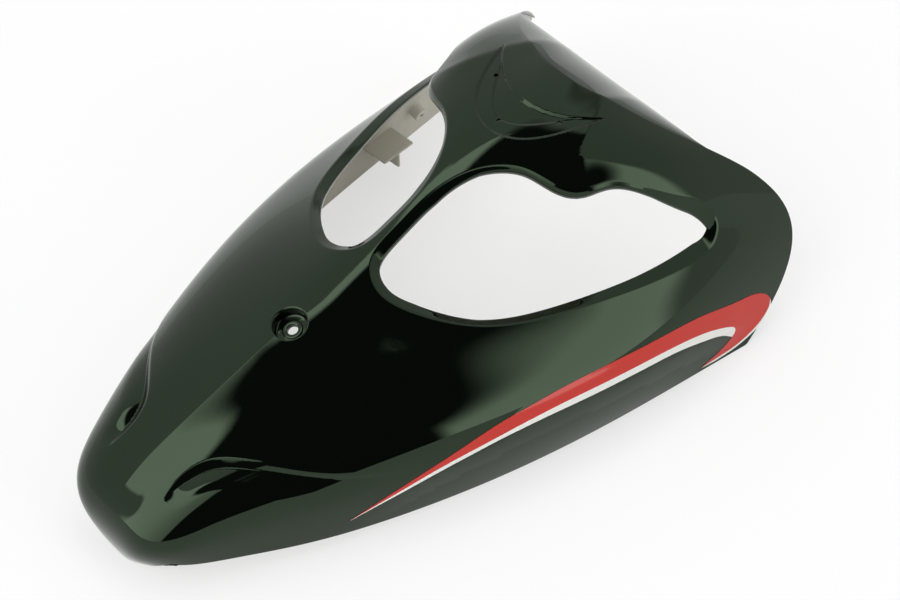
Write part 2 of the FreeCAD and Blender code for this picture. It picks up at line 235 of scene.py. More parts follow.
# Crest, folds and creases: low ridges of the mould that stiffen the shell. A crest runs along the middle of
# the nose, a fold leans over each shoulder beside the badge recess (half width, distance along), and a
# crease follows each flank (distance along, height).
CREST_HEIGHT, CREST_WIDTH, CREST_WAVE = 2.0, 25.0, 22.0
CREST_RISE, CREST_FALL = (0, 40), (130, 200)
SHOULDER_FOLD = ((41, 429), (47, 418), (53, 402), (60, 389), (66, 380), (75, 373), (87, 367))
FOLD_HEIGHT, FOLD_WIDTH, FOLD_ROUND = 2.4, 13.0, 2.5
FOLD_RISE, FOLD_FALL = (8, 38), (57, 87)
FOLD_HALF_WIDTHS, FOLD_LENGTHS, FOLD_ABOVE = (5, 125), (330, 470), 100
FLANK_CREASE = (
    (100, 14), (123, 22), (190, 42), (241, 49), (282, 51), (325, 47), (390, 38), (429, 29), (470, 17),
)
CREASE_HEIGHT, CREASE_WIDTH, CREASE_HALF_WIDTH = 1.1, 16.0, 60
CREASE_RISE, CREASE_FALL = (110, 190), (440, 475)
FOLD_LINE = spline(SHOULDER_FOLD, 30)
CREASE_LINE = spline(FLANK_CREASE, 12)


def crest_relief(half, along):
    """Height of the nose's crest: a wave that dies away from the middle plane and towards both its ends."""
    fade = ease(along, *CREST_RISE) * (1 - ease(along, *CREST_FALL))
    return CREST_HEIGHT * fade * np.exp(-half / CREST_WIDTH) * np.cos(half / CREST_WAVE)


def fold_relief(half, along):
    """Height of a shoulder's fold: a rounded peak along its line that dies away to both sides and both
    ends."""
    height = np.zeros(half.shape)
    close = within(half, FOLD_HALF_WIDTHS) & within(along, FOLD_LENGTHS)
    if close.any():
        gap, _ = nearest(np.stack([half[close], along[close]], 1), FOLD_LINE)
        share = ease(half[close], *FOLD_RISE) * (1 - ease(half[close], *FOLD_FALL))
        away = np.sqrt(gap ** 2 + FOLD_ROUND ** 2) - FOLD_ROUND
        height[close] = FOLD_HEIGHT * share * np.exp(-away / FOLD_WIDTH)
    return height


def crease_relief(half, along, height):
    """Height of a flank's crease: a straight rise and fall across its line, faded towards both its ends."""
    fade = ease(along, *CREASE_RISE) * (1 - ease(along, *CREASE_FALL)) * (half > CREASE_HALF_WIDTH)
    away = np.abs(height - np.interp(along, CREASE_LINE[:, 0], CREASE_LINE[:, 1]))
    return CREASE_HEIGHT * fade * np.clip(1 - away / CREASE_WIDTH, 0, 1)


# Finished skin: the smooth skin with its recesses and ridges, as it leaves the mould, its rims slightly
# rounded. It stays a hair inside the smooth skin, and so inside the solid's box.
RIM_ROLL, ROLL_LIMIT = 0.8, 0.985
MARGIN = 0.03
STEP = 2e-4


def slopes(surface, u, v):
    """Change of a surface along u and across v, from places a step to either side."""
    u_low, u_high = np.clip(u - STEP, 0, 1), np.clip(u + STEP, 0, 1)
    v_low, v_high = np.clip(v - STEP, 0, 1), np.clip(v + STEP, 0, 1)
    along = (surface(u_high, v) - surface(u_low, v)) / (u_high - u_low)[..., None]
    across = (surface(u, v_high) - surface(u, v_low)) / (v_high - v_low)[..., None]
    return along, across


def unit(vectors):
    """The same directions, one long."""
    return vectors / np.maximum(np.linalg.norm(vectors, axis=-1, keepdims=True), 1e-12)


def roll(distance, radius):
    """Depth of a quarter-round edge: nothing at its radius from the edge, nearly the radius at the edge."""
    inside = np.clip(radius - distance, 0, ROLL_LIMIT * radius)
    return radius - np.sqrt(radius ** 2 - inside ** 2)


def recesses(place):
    """Depth of the badge recess and the nose scoops."""
    x, along, height = place[..., 0], place[..., 1] + SETBACK, place[..., 2]
    badge = np.where(height > BADGE_ABOVE, badge_relief(x, along), 0)
    return badge + np.where(height > SCOOP_ABOVE, scoop_relief(x, along), 0)


def relief(u, v, place, lengths):
    """How far the finished skin stands off the smooth one: ridges less recesses, rolled rims and margin."""
    half, along, height = np.abs(place[..., 0]), place[..., 1] + SETBACK, place[..., 2]
    ridges = crest_relief(half, along) + np.where(height > FOLD_ABOVE, fold_relief(half, along), 0)
    ridges = ridges + crease_relief(half, along, height)
    rim = roll(np.minimum(v, 1 - v) * lengths[1], RIM_ROLL) + roll(u * lengths[0], RIM_ROLL)
    return ridges - recesses(place) - rim - MARGIN


def shell(u, v):
    """Finished skin: the smooth skin moved along its normal by the relief."""
    place = skin(u, v)
    along, across = slopes(skin, u, v)
    lengths = np.linalg.norm(along, axis=-1), np.linalg.norm(across, axis=-1)
    normal = unit(np.cross(across, along))
    return place + normal * relief(u, v, place, lengths)[..., None]


# Headlight openings: the mould leaves an opening for a lamp on either side of the ridge. Its line is given
# by half width and distance along, with the width of the lip there and how deep the lip drops.
EYE_OUTLINE = (
    (3, 262, 6, 4.5), (4, 295, 6, 4.5), (18, 327.5, 2, 3), (42, 348, 1.2, 3), (63, 356, 1.2, 3),
    (75, 365, 1.2, 2), (84, 388, 2, 2), (101, 418, 2.5, 2), (114, 444, 4, 3.5), (121, 457, 6, 5),
    (128.5, 461.5, 7.5, 7), (134, 455, 8, 8), (136.5, 437, 9, 8), (131, 383, 8.5, 8), (113, 318, 8, 8),
    (88, 263, 7.5, 7), (53, 230, 8, 4), (27, 222, 8, 4), (9, 232, 6.5, 5),
)
EYE_STEPS, EYE_ROLL = 30, 1.2
EYE_MARGIN, EYE_ABOVE, FAR_AWAY = 12, 70, 60.0
eye_points = np.array(EYE_OUTLINE, float)
eye_line = spline(eye_points[:, :2], EYE_STEPS, closed=True)
eye_share = np.linspace(0, 1, EYE_STEPS, endpoint=False)[None, :, None]
eye_ahead = np.roll(eye_points, -1, axis=0)
eye_lip = ((1 - eye_share) * eye_points[:, None, 2:] + eye_share * eye_ahead[:, None, 2:]).reshape(-1, 2)
eye_run = unit(np.roll(eye_line, -1, axis=0) - np.roll(eye_line, 1, axis=0))
eye_inward = np.stack([eye_run[:, 1], -eye_run[:, 0]], 1)
eye_table = np.concatenate([eye_line, eye_inward, eye_lip], 1)
eye_table = np.concatenate([eye_table, eye_table[:1]])
eye_edge = eye_table[:, :2] - EYE_ROLL * eye_table[:, 2:4]


def eye_distance(u, v):
    """Distance of places on the skin from the opening's rolled edge in plan, positive outside it."""
    place = skin(u, v)
    flat = np.stack([np.abs(place[..., 0]), place[..., 1] + SETBACK], -1).reshape(-1, 2)
    distance = np.full(len(flat), FAR_AWAY)
    low, high = eye_edge.min(0) - EYE_MARGIN, eye_edge.max(0) + EYE_MARGIN
    close = ((flat > low) & (flat < high)).all(1) & (place[..., 2].ravel() > EYE_ABOVE)
    distance[close] = nearest(flat[close], eye_edge)[0]
    return distance.reshape(u.shape)


# Screw hole and pin holes: round holes square to the skin, one in a cup on the ridge for the screw that
# holds the cowl, and three small ones in the badge recess.
SCREW_ALONG, SCREW_RADIUS = 164.0, 4.0
CUP_RADIUS, CUP_DEPTH, CUP_ROLL = 12.5, 9.0, 1.6
PIN_RADIUS, PIN_PLACES = 2.0, ((0, 363), (33, 391), (-33, 391))
ROOF_U, ROOF_V = np.meshgrid(np.linspace(0.4, 1, 60), np.linspace(0.06, 0.94, 80), indexing="ij")
ROOF_STEPS, ROOF_REACH = 12, 0.03


def found(target, axes, coarse_u, coarse_v, steps, reach):
    """Places of the skin that have the target's coordinates on two axes: from the nearest place of a coarse
    grid, by Newton steps of limited reach."""
    first, second = axes
    coarse = skin(coarse_u, coarse_v).reshape(-1, 3)[:, axes]
    best = ((target[:, None, :] - coarse) ** 2).sum(2).argmin(1)
    u, v = coarse_u.ravel()[best], coarse_v.ravel()[best]
    for _ in range(steps):
        along, across = slopes(skin, u, v)
        miss = target - skin(u, v)[:, axes]
        area = along[:, first] * across[:, second] - along[:, second] * across[:, first]
        step_u = (miss[:, 0] * across[:, second] - miss[:, 1] * across[:, first]) / area
        step_v = (along[:, first] * miss[:, 1] - along[:, second] * miss[:, 0]) / area
        u = np.clip(u + np.clip(step_u, -reach, reach), 0, 1)
        v = np.clip(v + np.clip(step_v, -reach, reach), 0, 1)
    return u, v


def on_roof(plan):
    """Places of the skin above places in plan."""
    return found(plan, [0, 1], ROOF_U, ROOF_V, ROOF_STEPS, ROOF_REACH)


def normals(surface, u, v):
    """Outward normals: across cross along."""
    along, across = slopes(surface, u, v)
    return unit(np.cross(across, along))


def hole_axis(x, along):
    """Centre and outward axis of a hole square to the skin."""
    u, v = on_roof(np.array([[x, along - SETBACK]], float))
    return skin(u, v)[0], normals(skin, u, v)[0]


def round_distance(centre, axis, radius):
    """A function of places on the skin: their distance from a circle round an axis, positive outside it."""
    def distance(u, v):
        away = skin(u, v) - centre
        drop = away @ axis
        return np.linalg.norm(away - drop[..., None] * axis, axis=-1) - radius
    return distance


screw_centre, screw_axis = hole_axis(0, SCREW_ALONG)
pin_holes = [hole_axis(x, along) for x, along in PIN_PLACES]
lines = [eye_distance, round_distance(screw_centre, screw_axis, CUP_RADIUS + CUP_ROLL)]
lines += [round_distance(centre, axis, PIN_RADIUS) for centre, axis in pin_holes]

# Face of the cowl: the lacquered side of the moulding, with clean edges at its openings. It has rows along
# and mirrored columns across, closer together where the scoops and the badge recess need it, and places
# next to an opening's line are moved onto it.
ROW_BANDS = ((0.0, 3), (0.004, 72), (0.2, 58), (0.4, 100), (0.9, 84), (0.9998, 0))
COLUMN_BANDS = ((0.5, 62), (0.68, 36), (0.84, 42), (0.996, 3), (1.0, 0))
WELDS_PER_MM = 500


def bands(marks):
    """Places in bands, each band evenly divided."""
    spans = []
    for (low, count), (high, _) in zip(marks, marks[1:]):
        spans.append(np.linspace(low, high, count, endpoint=False))
    return np.concatenate(spans + [[marks[-1][0]]])


def grid(row_marks, column_marks):
    """Rows along and mirrored columns across."""
    right_columns = bands(column_marks)
    columns = np.concatenate([1 - right_columns[:0:-1], right_columns])
    return np.meshgrid(bands(row_marks), columns, indexing="ij")


def snapped(u, v, distance):
    """Moves the nearer end of each grid edge that crosses a line onto it, by steps down the distance's
    slope, and gives each place's side: 1 outside, 0 on the line, -1 inside."""
    gap = distance(u, v)
    near = np.zeros(gap.shape, bool)
    for first, second in ((np.s_[:-1, :], np.s_[1:, :]), (np.s_[:, :-1], np.s_[:, 1:])):
        crosses = gap[first] * gap[second] < 0
        nearer = np.abs(gap[first]) <= np.abs(gap[second])
        near[first] |= crosses & nearer
        near[second] |= crosses & ~nearer
    place_u, place_v = u[near], v[near]
    for _ in range(6):
        along, across = slopes(skin, place_u, place_v)
        scale_u, scale_v = (along ** 2).sum(1), (across ** 2).sum(1)
        here = distance(place_u, place_v)
        slope_u = (distance(place_u + STEP, place_v) - here) / STEP
        slope_v = (distance(place_u, place_v + STEP) - here) / STEP
        steep = slope_u ** 2 / scale_u + slope_v ** 2 / scale_v
        place_u = place_u - here * slope_u / scale_u / steep
        place_v = place_v - here * slope_v / scale_v / steep
    u, v = u.copy(), v.copy()
    u[near], v[near] = place_u, place_v
    return u, v, np.where(near, 0, np.sign(gap)).astype(int)


def cut_grid(row_marks, column_marks):
    """A grid with its places snapped to every opening's line, and each place's side of each line."""
    u, v = grid(row_marks, column_marks)
    line_sides = []
    for line in lines:
        u, v, side = snapped(u, v, line)
        line_sides.append(side)
    return u, v, line_sides


def kept_faces(line_sides):
    """Faces of a grid outside the openings: quads with no corner inside, and the outer half of a quad that
    an opening's line cuts corner to corner."""
    side = np.min(line_sides, axis=0)
    index = np.arange(side.size).reshape(side.shape)
    corners = np.stack([index[:-1, :-1], index[:-1, 1:], index[1:, 1:], index[1:, :-1]], -1).reshape(-1, 4)
    at_corner = side.ravel()[corners]
    quads = corners[(at_corner >= 0).all(1) & (at_corner > 0).any(1)]
    halves = []
    for lost in range(4):
        after, across, before = [(lost + step) % 4 for step in (1, 2, 3)]
        on_line = (at_corner[:, after] == 0) & (at_corner[:, before] == 0)
        cut = (at_corner[:, lost] < 0) & on_line & (at_corner[:, across] > 0)
        halves.append(corners[cut][:, [after, across, before]])
    return quads, np.concatenate(halves)


grid_u, grid_v, sides = cut_grid(ROW_BANDS, COLUMN_BANDS)
skin_points = shell(grid_u, grid_v)
skin_normals = normals(shell, grid_u, grid_v)
smooth_normals = normals(skin, grid_u, grid_v)
skin_quads, skin_triangles = kept_faces(sides)
in_use = np.zeros(grid_u.size, bool)
in_use[np.concatenate([skin_quads.ravel(), skin_triangles.ravel()])] = True
in_use = in_use.reshape(grid_u.shape)


class Sheet:
    """Collects grids of places and their faces, and welds them into one piece."""

    def __init__(self):
        self.points, self.normals, self.quads, self.triangles = [], [], [], [np.zeros((0, 3), int)]
        self.count = 0

    def add(self, points, point_normals, quads, triangles=None):
        """Adds places with their normals (zero where the faces give them) and faces that count from the
        first."""
        self.points.append(points.reshape(-1, 3))
        self.normals.append(point_normals.reshape(-1, 3))
        self.quads.append(quads + self.count)
        if triangles is not None:
            self.triangles.append(triangles + self.count)
        self.count += points.size // 3

    def strip(self, rings, closed=False, ring_normals=None):
        """Adds rings of places, one row each, joined in order."""
        rows, length = rings.shape[:2]
        index = np.arange(rows * length).reshape(rows, length)
        after = np.roll(index, -1, axis=1) if closed else index[:, 1:]
        index = index if closed else index[:, :-1]
        quads = np.stack([index[:-1], after[:-1], after[1:], index[1:]], -1).reshape(-1, 4)
        self.add(rings, np.zeros(rings.shape) if ring_normals is None else ring_normals, quads)

    def welded(self):
        """Places cut level with the floor and welded where they coincide, their normals, and the faces left
        when those that collapse are dropped."""
        points = np.maximum(np.concatenate(self.points), (-np.inf, -np.inf, 0))
        cell = np.round(points * WELDS_PER_MM)
        _, first, same = np.unique(cell, axis=0, return_index=True, return_inverse=True)
        same = same.ravel()
        given = np.zeros((len(first), 3))
        np.add.at(given, same, np.concatenate(self.normals))
        quads = same[np.concatenate(self.quads)]
        triangles = same[np.concatenate(self.triangles)]
        for corner in range(4):
            flat = quads[:, corner] == quads[:, (corner + 1) % 4]
            rest = [other for other in range(4) if other != corner]
            triangles = np.concatenate([triangles, quads[flat][:, rest]])
            quads = quads[~flat]
        triangles = triangles[(triangles != np.roll(triangles, -1, axis=1)).all(1)]
        used, new = np.unique(np.concatenate([quads.ravel(), triangles.ravel()]), return_inverse=True)
        new = new.ravel()
        faces = new[:quads.size].reshape(-1, 4).tolist() + new[quads.size:].reshape(-1, 3).tolist()
        return points[first[used]], given[used], faces

    def piece(self, name, material):
        """The welded places as an object, its faces turned the way of the given normals, which are kept."""
        points, given, faces = self.welded()
        mesh = bpy.data.meshes.new(name)
        mesh.from_pydata((points / METRE).tolist(), [], faces)
        work = bmesh.new()
        work.from_mesh(mesh)
        bmesh.ops.recalc_face_normals(work, faces=work.faces)
        work.to_mesh(mesh)
        work.free()
        facing = np.zeros(points.size)
        mesh.vertex_normals.foreach_get("vector", facing)
        if (facing.reshape(-1, 3) * given).sum() < 0:
            mesh.flip_normals()
        mesh.polygons.foreach_set("use_smooth", np.ones(len(mesh.polygons), bool))
        mesh.normals_split_custom_set_from_vertices(unit(given).tolist())
        mesh.materials.append(material)
        piece = bpy.data.objects.new(name, mesh)
        bpy.context.collection.objects.link(piece)
        return piece


cowl = Sheet()
cowl.add(skin_points, skin_normals, skin_quads, skin_triangles)

# Eye lips: round each headlight opening the moulding rolls over and slopes down to the edge of the hole, as
# wide and as deep as its outline says there. The hole's edge is rounded too.
WALL = 2.5
EDGE_ROUND, LIP_THICKNESS = 0.9, 3.0
DOWN = np.array([0, 0, -1.0])


def bezier(start, corner, end, steps):
    """Rings of a curve that leaves start towards corner and arrives at end from corner."""
    share = np.linspace(0, 1, steps)[:, None, None]
    return (1 - share) ** 2 * start + 2 * share * (1 - share) * corner + share ** 2 * end


for hand in (1, -1):
    on_edge = (sides[0] == 0) & in_use & (skin_points[..., 0] * hand > 0)
    edge = skin_points[on_edge]
    _, place = nearest(np.stack([edge[:, 0] * hand, edge[:, 1] + SETBACK], 1), eye_edge)
    order = np.argsort(place)
    edge = edge[order]
    edge_normal = smooth_normals[on_edge][order]
    table_place = np.arange(len(eye_table))
    row = np.stack([np.interp(place[order], table_place, column) for column in eye_table.T], 1)
    mirror = np.array([hand, 1])
    corner = skin(*on_roof(row[:, :2] * mirror - (0, SETBACK)))
    end_plan = row[:, :2] + unit(row[:, 2:4]) * row[:, 4:5]
    end = skin(*on_roof(end_plan * mirror - (0, SETBACK))) + row[:, 5:] * DOWN
    slope = unit(end - corner)
    lip_start = corner + slope * EYE_ROLL
    lip_end = end - slope * EDGE_ROUND
    cowl.strip(np.concatenate([
        bezier(edge, corner, lip_start, 6),
        bezier(lip_start, (lip_start + lip_end) / 2, lip_end, 5)[1:],
        bezier(lip_end, end, end + EDGE_ROUND * DOWN, 5)[1:],
        np.stack([end + LIP_THICKNESS * DOWN, edge - WALL * edge_normal]),
    ]), closed=True)

# Screw cup and pin holes: a round cup is sunk square to the ridge, with a raised collar round the screw
# hole in its floor, and the pin holes go straight through. Each corner of the cup is given by the radius
# and depth at which its rounding starts, of the sharp corner itself, and at which the rounding ends.
COLLAR_RADIUS, COLLAR_HEIGHT = 7.2, 1.0
COLLAR_TOP = CUP_DEPTH - COLLAR_HEIGHT
CUP_FILLET, HOLE_ROUND = 2.0, 0.6
FLOOR_CORNER = (
    (CUP_RADIUS, CUP_DEPTH - CUP_FILLET), (CUP_RADIUS, CUP_DEPTH), (CUP_RADIUS - CUP_FILLET, CUP_DEPTH),
)
COLLAR_FOOT = (
    (COLLAR_RADIUS + 0.8, CUP_DEPTH), (COLLAR_RADIUS + 0.1, CUP_DEPTH), (COLLAR_RADIUS, CUP_DEPTH - 0.3),
)
COLLAR_EDGE = (
    (COLLAR_RADIUS, COLLAR_TOP + 0.3), (COLLAR_RADIUS, COLLAR_TOP), (COLLAR_RADIUS - 0.4, COLLAR_TOP),
)
HOLE_EDGE = (
    (SCREW_RADIUS + HOLE_ROUND, COLLAR_TOP), (SCREW_RADIUS, COLLAR_TOP),
    (SCREW_RADIUS, COLLAR_TOP + HOLE_ROUND),
)
PIN_ROUND_WIDTH, PIN_ROUND_DEPTH = 0.2, 0.4


def round_loop(number, centre, axis):
    """The skin's places round a hole in order, and the direction of each from the axis."""
    on_line = (sides[number] == 0) & in_use
    points = skin_points[on_line]
    across = unit(np.cross(axis, (0.0, 1.0, 0.0)))
    along = np.cross(axis, across)
    angle = np.arctan2((points - centre) @ along, (points - centre) @ across)
    order = np.argsort(angle)
    spoke = np.cos(angle[order])[:, None] * across + np.sin(angle[order])[:, None] * along
    return points[order], spoke


cup_edge, cup_spoke = round_loop(1, screw_centre, screw_axis)


def cup_ring(radius, depth):
    """A circle round the screw's axis, this far below the skin there."""
    return screw_centre + cup_spoke * radius - screw_axis * depth


def cup_corner(places, steps):
    """Rings of one rounded corner of the cup."""
    return bezier(*[cup_ring(radius, depth) for radius, depth in places], steps)


cup_lip = cup_edge - cup_spoke * CUP_ROLL
cowl.strip(np.concatenate([
    bezier(cup_edge, cup_lip, cup_lip - CUP_ROLL * screw_axis, 6),
    cup_corner(FLOOR_CORNER, 5),
    cup_corner(COLLAR_FOOT, 4),
    cup_corner(COLLAR_EDGE, 4),
    cup_corner(HOLE_EDGE, 4),
    cup_ring(SCREW_RADIUS, CUP_DEPTH + WALL)[None],
]), closed=True)
for number, (centre, axis) in enumerate(pin_holes, 2):
    pin_edge, pin_spoke = round_loop(number, centre, axis)
    pin_lip = pin_edge - PIN_ROUND_DEPTH * axis - PIN_ROUND_WIDTH * pin_spoke
    cowl.strip(np.stack([pin_edge, pin_lip, pin_edge - 2 * WALL * axis]), closed=True)

# Tongue and shoulders: behind the crease at the skin's top edge a convex facet of the moulding runs back to
# a straight edge that is turned down, and beside it the shoulders end in a narrow flange, bent down too.
TONGUE_HALF_WIDTH, TONGUE_ROLL, TONGUE_BULGE = 97.0, 7.0, 0.06
TONGUE_DOWN = np.array([0, -0.6, -0.8])
TONGUE_FLAT, TONGUE_FLAT_ROWS, TONGUE_ROLL_ROWS = 0.8, 20, 12
TONGUE_ROLL_SHARE, LEAST_ROLL = 0.5, 1e-3
FLANGE, FLANGE_BEND, FLANGE_END = 5.0, np.radians(35), np.radians(85)
FLANGE_START, FLANGE_FADE = (TONGUE_HALF_WIDTH, TONGUE_HALF_WIDTH + 20), (240, 258)
top = skin_points[-1]
in_tongue = np.flatnonzero(np.abs(top[:, 0]) < TONGUE_HALF_WIDTH)
first, last = in_tongue[0] - 1, in_tongue[-1] + 1
crease = top[first:last + 1]
rear_along, rear_height = crease[-1, 1:]
rear = np.stack([crease[:, 0], np.full(len(crease), rear_along), np.full(len(crease), rear_height)], 1)
depth = np.linalg.norm(rear - crease, axis=1)
flat_share = np.linspace(0, TONGUE_FLAT, TONGUE_FLAT_ROWS, endpoint=False)
roll_share = 1 - (1 - TONGUE_FLAT) * np.linspace(1, 0, TONGUE_ROLL_ROWS) ** 2
share = np.concatenate([flat_share, roll_share])[:, None]
bulge = TONGUE_BULGE * depth * 4 * share * (1 - share)
tongue_roll = np.minimum(TONGUE_ROLL, TONGUE_ROLL_SHARE * depth) + LEAST_ROLL
turned_down = roll((1 - share) * depth, tongue_roll)
facet = crease + share[..., None] * (rear - crease) + TONGUE_DOWN * (turned_down - bulge)[..., None]
cowl.strip(facet)
tongue_edge = facet[-1]
cowl.strip(np.stack([tongue_edge, tongue_edge + WALL * TONGUE_DOWN]))

edge_along = unit(slopes(skin, grid_u[-1], grid_v[-1])[0])
edge_normal = smooth_normals[-1]
for part in (np.s_[:first + 1], np.s_[last:]):
    size = FLANGE * ease(np.abs(top[part, 0]), *FLANGE_START) * (1 - ease(top[part, 1], *FLANGE_FADE))
    size = size[:, None]
    bent = np.cos(FLANGE_BEND) * edge_along[part] - np.sin(FLANGE_BEND) * edge_normal[part]
    ended = np.cos(FLANGE_END) * edge_along[part] - np.sin(FLANGE_END) * edge_normal[part]
    tip = top[part] + size * bent
    cowl.strip(np.concatenate([
        bezier(top[part], tip, tip + size * ended, 8),
        (top[part] - WALL * edge_normal[part])[None],
    ]))

# Rims and lacquer: the wall's own thickness shows along the chin and both lower edges, and the whole face
# is sprayed with gloss black lacquer, faintly green in its gloss and faintly wavy.
INNER_EDGE = 0.03
LACQUER, LACQUER_GLOSS, LACQUER_ROUGHNESS = (0.0013, 0.0020, 0.0014), (0.70, 1.0, 0.65, 1), 0.03
PEEL_SCALE, PEEL_HEIGHT = 220.0, 4e-6


def inner(u, v):
    """Inner face: a wall's thickness under the skin and its recesses, by normals from inside the rims."""
    place = skin(u, v)
    inward = -normals(skin, np.clip(u, INNER_EDGE, 1), np.clip(v, INNER_EDGE, 1 - INNER_EDGE))
    return place + (WALL + recesses(place))[..., None] * inward


def plain_material(name, colour, roughness):
    """A material with one colour and gloss, constants set on the sockets."""
    material = bpy.data.materials.new(name)
    material.use_nodes = True
    shader = material.node_tree.nodes["Principled BSDF"]
    shader.inputs["Base Color"].default_value = (*colour, 1)
    shader.inputs["Roughness"].default_value = roughness
    shader.inputs["IOR"].default_value = 1.5
    return material


def peel(material, scale, height):
    """Faint waviness of sprayed lacquer: a bump from noise on the object, its height in metres."""
    nodes, links = material.node_tree.nodes, material.node_tree.links
    place = nodes.new("ShaderNodeTexCoord")
    texture = nodes.new("ShaderNodeTexNoise")
    texture.inputs["Scale"].default_value = scale
    texture.inputs["Detail"].default_value = 1.0
    bump = nodes.new("ShaderNodeBump")
    bump.inputs["Strength"].default_value = 1.0
    bump.inputs["Distance"].default_value = height
    links.new(place.outputs["Object"], texture.inputs["Vector"])
    links.new(texture.outputs["Fac"], bump.inputs["Height"])
    links.new(bump.outputs["Normal"], nodes["Principled BSDF"].inputs["Normal"])


for part in (np.s_[0], np.s_[:, 0], np.s_[:, -1]):
    cowl.strip(np.stack([skin_points[part], inner(grid_u[part], grid_v[part])]))
lacquer = plain_material("black_lacquer", LACQUER, LACQUER_ROUGHNESS)
lacquer.node_tree.nodes["Principled BSDF"].inputs["Specular Tint"].default_value = LACQUER_GLOSS
peel(lacquer, PEEL_SCALE, PEEL_HEIGHT)
cowl_skin = cowl.piece("cowl_skin", lacquer)
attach(cowl_skin, "root")
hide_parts("front_cowl")

# Inside: the moulding's back, bare pale plastic that was never sprayed, with a boss and a lug on each
# flank. It follows the skin at the wall's thickness and ends at the rims and the lips. A boss takes a screw
# in its pilot hole, and a lug is a plate with a web under it.
INNER_ROWS = ((0.0, 100), (0.9, 60), (0.9998, 0))
INNER_COLUMNS = ((0.5, 50), (0.66, 50), (1.0, 0))
CUP_BACK_ROUND = 1.5
BOSS_ALONG, BOSS_HEIGHT, BOSS_RADIUS, BOSS_LENGTH = 424.0, 34.0, 6.0, 11.0
PILOT_RADIUS, PILOT_DEPTH = 1.75, 8.0
SEAT = 1.0
MOUTH = SEAT + BOSS_LENGTH
BOSS_PROFILE = (
    (BOSS_RADIUS + 1.5, WALL), (BOSS_RADIUS + 0.4, WALL + 0.4), (BOSS_RADIUS, WALL + 1.5),
    (BOSS_RADIUS, MOUTH - 0.5), (BOSS_RADIUS - 0.15, MOUTH - 0.15), (BOSS_RADIUS - 0.5, MOUTH),
    (PILOT_RADIUS + 0.5, MOUTH), (PILOT_RADIUS, MOUTH - 0.5),
    (PILOT_RADIUS, MOUTH - PILOT_DEPTH), (0, MOUTH - PILOT_DEPTH),
)
LUG_ALONG, LUG_HEIGHT, LUG_REACH, LUG_LENGTH, LUG_WEB = 385.0, 24.0, 26.0, 32.0, 14.0
LUG_RINGS = ((SEAT, 0), (LUG_REACH - 0.3, 0), (LUG_REACH + 0.6, 0.25), (LUG_REACH + SEAT, 0.8))
LUG_SQUARENESS = 0.3
UPWARD = np.array([0, 0, 1.0])
inner_u, inner_v, inner_sides = cut_grid(INNER_ROWS, INNER_COLUMNS)
inside = Sheet()
inside.add(inner(inner_u, inner_v), -normals(skin, inner_u, inner_v), *kept_faces(inner_sides))
back_depth, back_radius = CUP_DEPTH + WALL, CUP_RADIUS + CUP_ROLL
back_corner = (
    (CUP_RADIUS, back_depth), (back_radius, back_depth), (back_radius, back_depth - CUP_BACK_ROUND),
)
inside.strip(np.concatenate([
    cup_ring(SCREW_RADIUS, back_depth)[None],
    cup_corner(back_corner, 4),
    (cup_edge - WALL * screw_axis)[None],
]), closed=True)
crease_back = crease - WALL * smooth_normals[-1, first:last + 1]
inside.strip(np.stack([tongue_edge + WALL * TONGUE_DOWN, crease_back]))

FLANK_U, FLANK_V = np.meshgrid(np.linspace(0.2, 1, 160), np.linspace(0.8, 1, 60), indexing="ij")
FLANK_STEPS, FLANK_REACH = 8, 0.02


def on_flank(side_view):
    """Places of the skin on the right flank at places in side view (along, height)."""
    return found(side_view - (SETBACK, 0), [1, 2], FLANK_U, FLANK_V, FLANK_STEPS, FLANK_REACH)


def flank_seat(along, height):
    """Place on the right flank and the direction inwards."""
    u, v = on_flank(np.array([[along, height]], float))
    return skin(u, v)[0], -normals(skin, u, v)[0]


def around(count):
    """Cosine and sine of even turns, as two columns."""
    turn = np.linspace(0, 2 * np.pi, count, endpoint=False)[:, None]
    return np.stack([np.cos(turn), np.sin(turn)])


boss_foot, boss_inward = flank_seat(BOSS_ALONG, BOSS_HEIGHT)
boss_across = unit(np.cross(boss_inward, UPWARD))
boss_up = np.cross(boss_across, boss_inward)
boss_round = around(40)
boss_spoke = boss_round[0] * boss_across + boss_round[1] * boss_up
boss = np.stack([boss_foot + boss_spoke * radius + boss_inward * reach for radius, reach in BOSS_PROFILE])
lug_foot, lug_inward = flank_seat(LUG_ALONG, LUG_HEIGHT)
lug_inward = unit(lug_inward * (1, 1, 0))
lug_along = np.cross(UPWARD, lug_inward)
lug_round = around(48)
lug_square = np.sign(lug_round) * np.abs(lug_round) ** LUG_SQUARENESS


def bar(middle, half_width, half_height):
    """A level bar on the flank: rounded-square rings along its reach, drawn in and closed at its end."""
    rings = []
    for reach, less in LUG_RINGS + ((LUG_REACH + SEAT, np.inf),):
        wide = max(half_width - less, 0)
        high = max(half_height - less, 0)
        ring = lug_square[0] * lug_along * wide + lug_square[1] * UPWARD * high
        rings.append(lug_foot + middle + lug_inward * reach + ring)
    return np.stack(rings)


plate = bar(UPWARD * WALL / 2, LUG_LENGTH / 2, WALL / 2)
web = bar(-UPWARD * LUG_WEB / 2, WALL / 2, LUG_WEB / 2)
bare_plastic = plain_material("bare_plastic", (0.60, 0.58, 0.51), 0.5)
cowl_inside = inside.piece("cowl_inside", bare_plastic)
fixings = []
for hand, side_name in ((1, "right"), (-1, "left")):
    for rings, name in ((boss, "boss"), (plate, "lug_plate"), (web, "lug_web")):
        sheet = Sheet()
        sheet.strip(rings * (hand, 1, 1), closed=True)
        fixings.append(sheet.piece(f"{name}_{side_name}", bare_plastic))
for piece in [cowl_inside] + fixings:
    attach(piece, "root")
    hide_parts("front_cowl")

